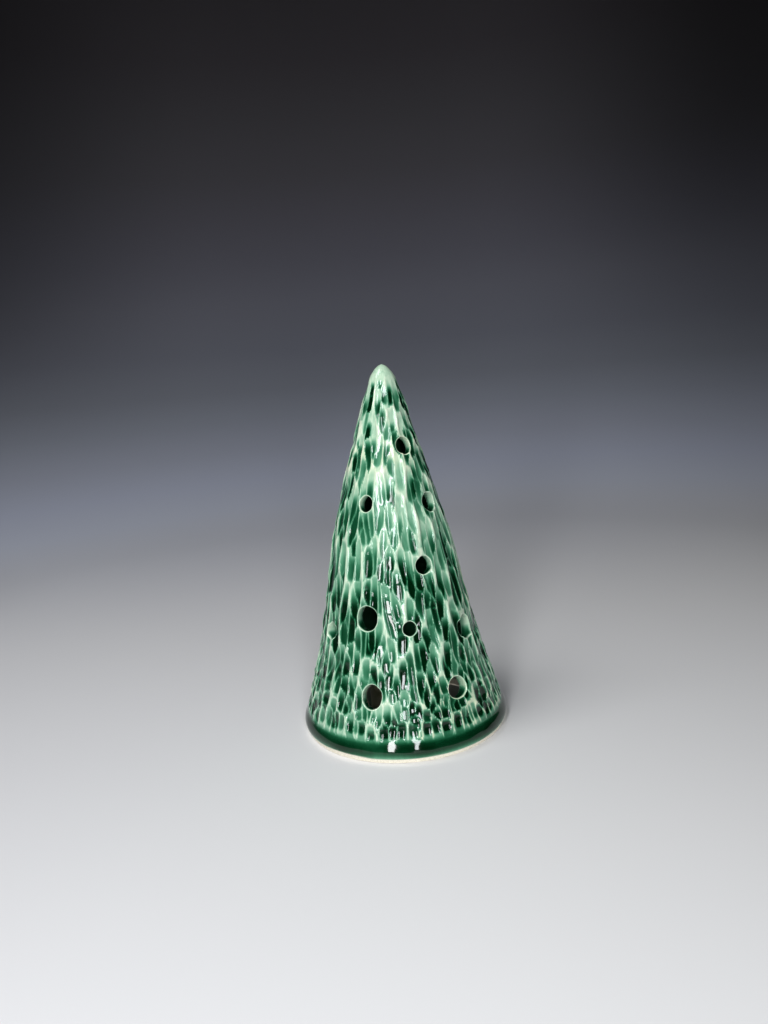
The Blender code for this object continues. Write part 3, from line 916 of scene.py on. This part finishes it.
def make_glaze():
    mat, tree, bsdf = new_material("green_glaze")
    k = Kit(tree)
    pool_and_painted_shade, ridge, tone = k.attribute("pool_and_painted_shade"), k.attribute("ridge"), k.attribute("tone")
    zone, bare = k.attribute("zone"), k.attribute("bare")
    fine = k.noise(k.coords((900, 900, 170)), 1.0, 4.0, 0.55)  # runs downwards
    cloud = k.noise(k.coords((1, 1, 0.7)), 38.0, 3.0, 0.5)
    wide = k.noise(k.coords((1, 1, 1)), 16.0, 2.0, 0.5)
    # thickness of the glaze, in units of the absorption above
    held = k.math("MULTIPLY", pool_and_painted_shade, k.range(cloud, 0.3, 0.7, 0.82, 1.22))
    lips = k.math("SUBTRACT", 1.0, k.math("MULTIPLY", ridge, 0.93))
    held = k.math("MULTIPLY", held, lips)
    held = k.math("ADD", held, k.math("MULTIPLY", ridge, 0.13))
    held = k.math("ADD", held, k.range(fine, 0.25, 0.75, -0.15, 0.15))
    held = k.math("MAXIMUM", held, 0.05)
    top = 4.4
    stops = [(p, glaze_colour(top * p)) for p in (0.0, 0.05, 0.105, 0.17, 0.25, 0.35, 0.46, 0.60, 0.78, 1.0)]
    thick = k.math("DIVIDE", held, top)
    colour = k.ramp(thick, stops)
    # thin places break to a warm cream
    cream = k.math("MULTIPLY", k.range(wide, 0.53, 0.66, 0.0, 1.0, True), k.range(held, 0.25, 1.0, 0.75, 0.0))
    colour = k.mix(k.math("MULTIPLY", cream, 0.75), colour, (0.74, 0.75, 0.51))
    # bare clay: cream stoneware with fine grog
    grog = k.noise(k.coords((1, 1, 1)), 1400.0, 3.0, 0.6)
    clay = k.ramp(grog, [(0.30, (0.64, 0.58, 0.46)), (0.52, (0.79, 0.74, 0.62)), (0.75, (0.86, 0.82, 0.71))])
    colour = k.mix(bare, colour, clay)
    k.link(colour, bsdf.inputs["Base Color"])
    speck = k.noise(k.coords((1, 1, 1)), 260.0, 2.0, 0.5)
    gloss = k.range(speck, 0.3, 0.7, 0.035, 0.075)
    rough = k.math("ADD", gloss, k.math("MULTIPLY", bare, 0.70), clamp=True)
    k.link(rough, bsdf.inputs["Roughness"])
    bsdf.inputs["IOR"].default_value = 1.50
    bsdf.inputs["Specular IOR Level"].default_value = 0.46
    # glaze levels out in soft swells, with a very fine orange peel; clay is gritty
    ripple = k.noise(k.coords((1, 1, 3.2)), 56.0, 1.0, 0.4, 0.4)
    peel = k.noise(k.coords((1, 1, 1)), 1500.0, 2.0, 0.5)
    smooth_part = k.math("SUBTRACT", 1.0, bare)
    height = k.math("ADD", k.math("MULTIPLY", ripple, smooth_part), k.math("MULTIPLY", k.math("MULTIPLY", peel, 0.003), smooth_part))
    height = k.math("ADD", height, k.math("MULTIPLY", k.math("MULTIPLY", grog, 0.20), bare))
    k.link(k.bump(height, 0.50, 0.00075), bsdf.inputs["Normal"])
    return mat


# ------------------------------------------------------------------ the tree
points, tris, values = build_tree_mesh()
tree_piece = make_mesh_object("carved_tree", points, tris, values)
tree_piece.data.materials.append(make_glaze())
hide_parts("tree_shell")
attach(tree_piece, "tree")

# ------------------------------------------------------------- the tea light
def make_plastic(name, colour, rough, scatter=0.0, clear=0.0):
    """Moulded plastic: faint flow clouds, a fine spark-eroded skin, and sink marks."""
    mat, tree, bsdf = new_material(name)
    k = Kit(tree)
    cloud = k.noise(k.coords(), 130.0, 3.0, 0.5)
    flow = k.noise(k.coords((1, 1, 0.3)), 420.0, 3.0, 0.6, 0.8)
    skin = k.noise(k.coords(), 2600.0, 3.0, 0.6)
    shade = k.ramp(cloud, [(0.30, tuple(c * 0.90 for c in colour)), (0.72, tuple(min(1.0, c * 1.05) for c in colour))])
    streak = k.ramp(flow, [(0.35, (0.955, 0.950, 0.940)), (0.62, (1.0, 1.0, 1.0))])
    k.link(k.mix(1.0, shade, streak, "MULTIPLY"), bsdf.inputs["Base Color"])
    k.link(k.math("ADD", k.range(skin, 0.3, 0.7, -0.05, 0.06), k.range(cloud, 0.3, 0.7, rough * 0.88, rough * 1.14)), bsdf.inputs["Roughness"])
    bsdf.inputs["IOR"].default_value = 1.47
    if scatter:
        bsdf.inputs["Subsurface Weight"].default_value = scatter
        bsdf.inputs["Subsurface Radius"].default_value = (1.0, 0.62, 0.34)
        bsdf.inputs["Subsurface Scale"].default_value = 0.003
    if clear:
        bsdf.inputs["Transmission Weight"].default_value = clear
    height = k.math("ADD", k.math("MULTIPLY", skin, 0.30), k.math("MULTIPLY", cloud, 1.0))
    k.link(k.bump(height, 0.30, 0.00005), bsdf.inputs["Normal"])
    return mat


def make_metal(name, colour, rough, stretch, stain=0.78):
    """Rolled or drawn metal: fine lines along one way, dull clouds, and small scratches."""
    mat, tree, bsdf = new_material(name)
    k = Kit(tree)
    lines = k.noise(k.coords(stretch), 1.0, 4.0, 0.6)
    cloud = k.noise(k.coords(), 190.0, 4.0, 0.6)
    scratch = k.voronoi(k.coords(tuple(v * 0.4 for v in stretch)), 1.0, "DISTANCE_TO_EDGE")
    nick = k.range(scratch, 0.0, 0.035, 1.0, 0.0)
    shade = k.ramp(cloud, [(0.28, tuple(c * stain for c in colour)), (0.66, colour)])
    k.link(shade, bsdf.inputs["Base Color"])
    bsdf.inputs["Metallic"].default_value = 1.0
    dull = k.math("ADD", k.range(lines, 0.3, 0.7, rough * 0.72, rough * 1.35), k.range(cloud, 0.35, 0.6, 0.08, 0.0))
    k.link(k.math("ADD", dull, k.math("MULTIPLY", nick, 0.12)), bsdf.inputs["Roughness"])
    height = k.math("SUBTRACT", lines, k.math("MULTIPLY", nick, 0.5))
    k.link(k.bump(height, 0.25, 0.00002), bsdf.inputs["Normal"])
    return mat


def dress_tea_light():
    ivory = make_plastic("ivory_plastic", (0.83, 0.76, 0.60), 0.42, scatter=0.12)
    door = make_plastic("ivory_plastic_door", (0.82, 0.75, 0.59), 0.36, scatter=0.12)
    flame = make_plastic("frosted_flame", (0.95, 0.84, 0.60), 0.46, scatter=0.55, clear=0.20)
    epoxy = make_plastic("led_epoxy", (0.95, 0.78, 0.42), 0.10, clear=0.55)
    white = make_plastic("white_plastic", (0.80, 0.80, 0.77), 0.40)
    black = make_plastic("black_plastic", (0.030, 0.030, 0.032), 0.42)
    wire = make_metal("tinned_wire", (0.74, 0.73, 0.69), 0.30, (1500, 1500, 120))
    cell = make_metal("cell_steel", (0.70, 0.70, 0.70), 0.26, (2400, 160, 2400), 0.86)
    brass = make_metal("brass_contact", (0.72, 0.55, 0.25), 0.30, (160, 2200, 2200), 0.70)
    screw = make_metal("screw_steel", (0.62, 0.62, 0.62), 0.34, (1400, 1400, 1400))
    looks = {
        "candle_housing": ivory,
        "base_plate": ivory,
        "battery_door": door,
        "flame_lens": flame,
        "led_emitter": epoxy,
        "led_holder": white,
        "anode_lead": wire,
        "cathode_lead": wire,
        "coin_cell": cell,
        "positive_contact": brass,
        "negative_contact": brass,
        "switch_wiper": brass,
        "switch_slider": black,
        "door_screw": screw,
    }
    for node, material in looks.items():
        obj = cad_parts[node]
        if not obj.material_slots:
            obj.data.materials.append(material)
        for place in obj.material_slots:
            place.material = material


dress_tea_light()

# ----------------------------------------------------------------- the stage
FILL = 0.08
LAMPS = (
    ("softbox_left", (-0.205, -0.655, 0.34), (0.0, 0.0, 0.07), 0.085, 0.50, 3.2, (1.0, 1.0, 1.0)),
    ("softbox_right", (0.110, -0.720, 0.35), (0.0, 0.0, 0.07), 0.080, 0.50, 2.55, (0.94, 0.975, 1.0)),
    ("softbox_top", (-0.40, -0.20, 0.93), (0.0, 0.0, 0.03), 0.45, 0.45, 4.1, (1.0, 1.0, 1.0)),
)
# these shine up through the table, so that the back and the underside aren't black
UNDER_LAMPS = (
    ("softbox_back", (0.12, 0.78, -0.15), (0.0, 0.0, 0.09), 0.34, 0.20, 2.6, (1.0, 1.0, 1.0)),
    ("softbox_under", (0.0, 0.0, -0.55), (0.0, 0.0, 0.0), 0.30, 0.30, 0.9, (1.0, 1.0, 1.0)),
)


def make_stage():
    """A sheet of paper that rises all round in one sweep, painted darker higher up, at its sides and beyond the table
    as painted shade, two soft lamps in front and above, and a dim room.
    """
    scene = bpy.context.scene
    profile = [(r, 0.0) for r in (0.0, 0.10, 0.2, 0.3, 0.42, 0.55)]
    profile += [
        (0.55 + 0.80 * math.sin(a), 0.80 * (1 - math.cos(a)))
        for a in (math.radians(d) for d in range(4, 88, 4))
    ]
    profile += [(1.36, z) for z in (0.8, 1.0, 1.3, 1.7, 2.2)]
    turns = 192
    verts = [(0.0, 0.0, 0.0)]
    for r, z in profile[1:]:
        verts += [(r * math.cos(2 * math.pi * i / turns), r * math.sin(2 * math.pi * i / turns), z) for i in range(turns)]
    faces = [(0, 1 + i, 1 + (i + 1) % turns) for i in range(turns)]
    for row in range(len(profile) - 2):
        a, b = 1 + row * turns, 1 + (row + 1) * turns
        faces += [(a + i, b + i, b + (i + 1) % turns, a + (i + 1) % turns) for i in range(turns)]
    data = bpy.data.meshes.new("paper_sweep")
    data.from_pydata(verts, [], faces)
    data.shade_smooth()
    floor = bpy.data.objects.new("paper_sweep", data)
    floor.location.z = -0.00002
    scene.collection.objects.link(floor)
    mat, tree, bsdf = new_material("paper_with_painted_shade")
    k = Kit(tree)
    place = k.coords()
    parts = k.node("ShaderNodeSeparateXYZ")
    k.link(place, parts.inputs[0])
    # painted shade: the darkening up the paper is tilted a little sideways
    height = k.math("ADD", parts.outputs["Z"], k.math("MULTIPLY", parts.outputs["X"], PAPER_SKEW))
    # painted shade: a little darker towards the back too
    height = k.math("ADD", height, k.range(parts.outputs["Y"], 0.10, 0.60, 0.0, 0.016, True))
    paper_mottle_and_painted_shade = k.ramp(k.range(height, -0.10, 1.10, 0.0, 1.0), PAPER_PAINTED_SHADE)
    mottle = k.noise(place, 2.5, 3.0, 0.5)
    paper_mottle_and_painted_shade = k.mix(1.0, paper_mottle_and_painted_shade, k.ramp(mottle, [(0.3, (0.975, 0.975, 0.98)), (0.7, (1.0, 1.0, 1.0))]), "MULTIPLY")
    # painted shade: its sides are darkened, more so higher up
    right_painted_shade = k.math("MULTIPLY", k.range(parts.outputs["X"], 0.22, 0.75, 0.0, 1.0, True), k.range(parts.outputs["Z"], 0.05, 0.70, 0.45, 0.80, True))
    left_painted_shade = k.math("MULTIPLY", k.range(parts.outputs["X"], -0.85, -0.30, 1.0, 0.0, True), k.range(parts.outputs["Z"], 0.05, 0.36, 0.15, 0.65, True))
    painted_side_shade = k.math("ADD", left_painted_shade, right_painted_shade)
    paper_mottle_and_painted_shade = k.mix(painted_side_shade, paper_mottle_and_painted_shade, (0.0, 0.0, 0.0))
    # painted shade: beyond the table the paper is darkened towards black to stand for the dark room, except for the
    # paper behind
    away = k.math("SQRT", k.math("ADD", k.math("MULTIPLY", parts.outputs["X"], parts.outputs["X"]), k.math("MULTIPLY", parts.outputs["Y"], parts.outputs["Y"])))
    facing = k.math("DIVIDE", parts.outputs["Y"], k.math("MAXIMUM", away, 0.05))
    painted_room_shade = k.math("MULTIPLY", k.range(away, 0.40, 0.72, 0.0, 1.0, True), k.range(facing, 0.32, 0.76, 1.0, 0.0, True))
    paper_mottle_and_painted_shade = k.mix(k.math("MULTIPLY", painted_room_shade, 0.86), paper_mottle_and_painted_shade, (0.0, 0.0, 0.0))
    k.link(paper_mottle_and_painted_shade, bsdf.inputs["Base Color"])
    bsdf.inputs["Roughness"].default_value = 0.7
    bsdf.inputs["Specular IOR Level"].default_value = 0.15
    # from below the paper is clear, so that the underside can be looked at; it also lets
    # the lamps there shine on what rests on it, and from behind on the tree's back
    side = k.node("ShaderNodeNewGeometry")
    path = k.node("ShaderNodeLightPath")
    behind = k.math("MULTIPLY", k.math("LESS_THAN", parts.outputs["Z"], 0.0005), k.math("GREATER_THAN", parts.outputs["Y"], 0.15))
    resting = k.math("MAXIMUM", behind, k.math("LESS_THAN", path.outputs["Ray Length"], 0.004))
    resting = k.math("MULTIPLY", path.outputs["Is Shadow Ray"], resting)
    clear = k.node("ShaderNodeBsdfTransparent")
    either = k.node("ShaderNodeMixShader")
    k.link(k.math("MAXIMUM", side.outputs["Backfacing"], resting), either.inputs[0])
    k.link(bsdf.outputs[0], either.inputs[1])
    k.link(clear.outputs[0], either.inputs[2])
    k.link(either.outputs[0], tree.nodes["Material Output"].inputs["Surface"])
    data.materials.append(mat)

    world = bpy.data.worlds.new("studio")
    scene.world = world
    world.use_nodes = True
    background = world.node_tree.nodes["Background"]
    background.inputs["Color"].default_value = (0.93, 0.97, 1.0, 1.0)
    background.inputs["Strength"].default_value = FILL

    for name, at, target, size_x, size_y, power, colour in (*LAMPS, *UNDER_LAMPS):
        data = bpy.data.lights.new(name, "AREA")
        data.shape = "RECTANGLE"
        data.size, data.size_y = size_x, size_y
        data.energy = power
        data.color = colour
        lamp = bpy.data.objects.new(name, data)
        lamp.location = at
        lamp.rotation_mode = "QUATERNION"
        lamp.rotation_quaternion = (Vector(target) - Vector(at)).to_track_quat("-Z", "Y")
        lamp.visible_camera = False
        scene.collection.objects.link(lamp)

    scene.view_settings.view_transform = "Standard"
    scene.view_settings.look = "None"
    scene.view_settings.exposure = 0.0
    scene.view_settings.gamma = 1.0


PAPER_SKEW = -0.01
# painted shade: the paper's colour, painted darker higher up where the light falls off, by share of the way from 0.10 m
# under the table's top to 1.10 m over it
PAPER_PAINTED_SHADE = [
    (0.0, (0.77, 0.765, 0.765)),
    (0.080, (0.77, 0.765, 0.765)),
    (0.092, (0.74, 0.75, 0.80)),
    (0.11, (0.68, 0.72, 0.84)),
    (0.13, (0.60, 0.64, 0.78)),
    (0.16, (0.485, 0.515, 0.62)),
    (0.20, (0.37, 0.395, 0.470)),
    (0.24, (0.29, 0.308, 0.362)),
    (0.30, (0.242, 0.252, 0.303)),
    (0.38, (0.222, 0.225, 0.270)),
    (0.45, (0.183, 0.182, 0.220)),
    (0.52, (0.155, 0.151, 0.180)),
    (0.60, (0.125, 0.120, 0.136)),
    (0.70, (0.100, 0.095, 0.106)),
    (0.80, (0.078, 0.071, 0.080)),
    (1.0, (0.055, 0.051, 0.056)),
]
make_stage()

# ---------------------------------------------------------------- finish
print("tree triangles", len(tree_piece.data.polygons))
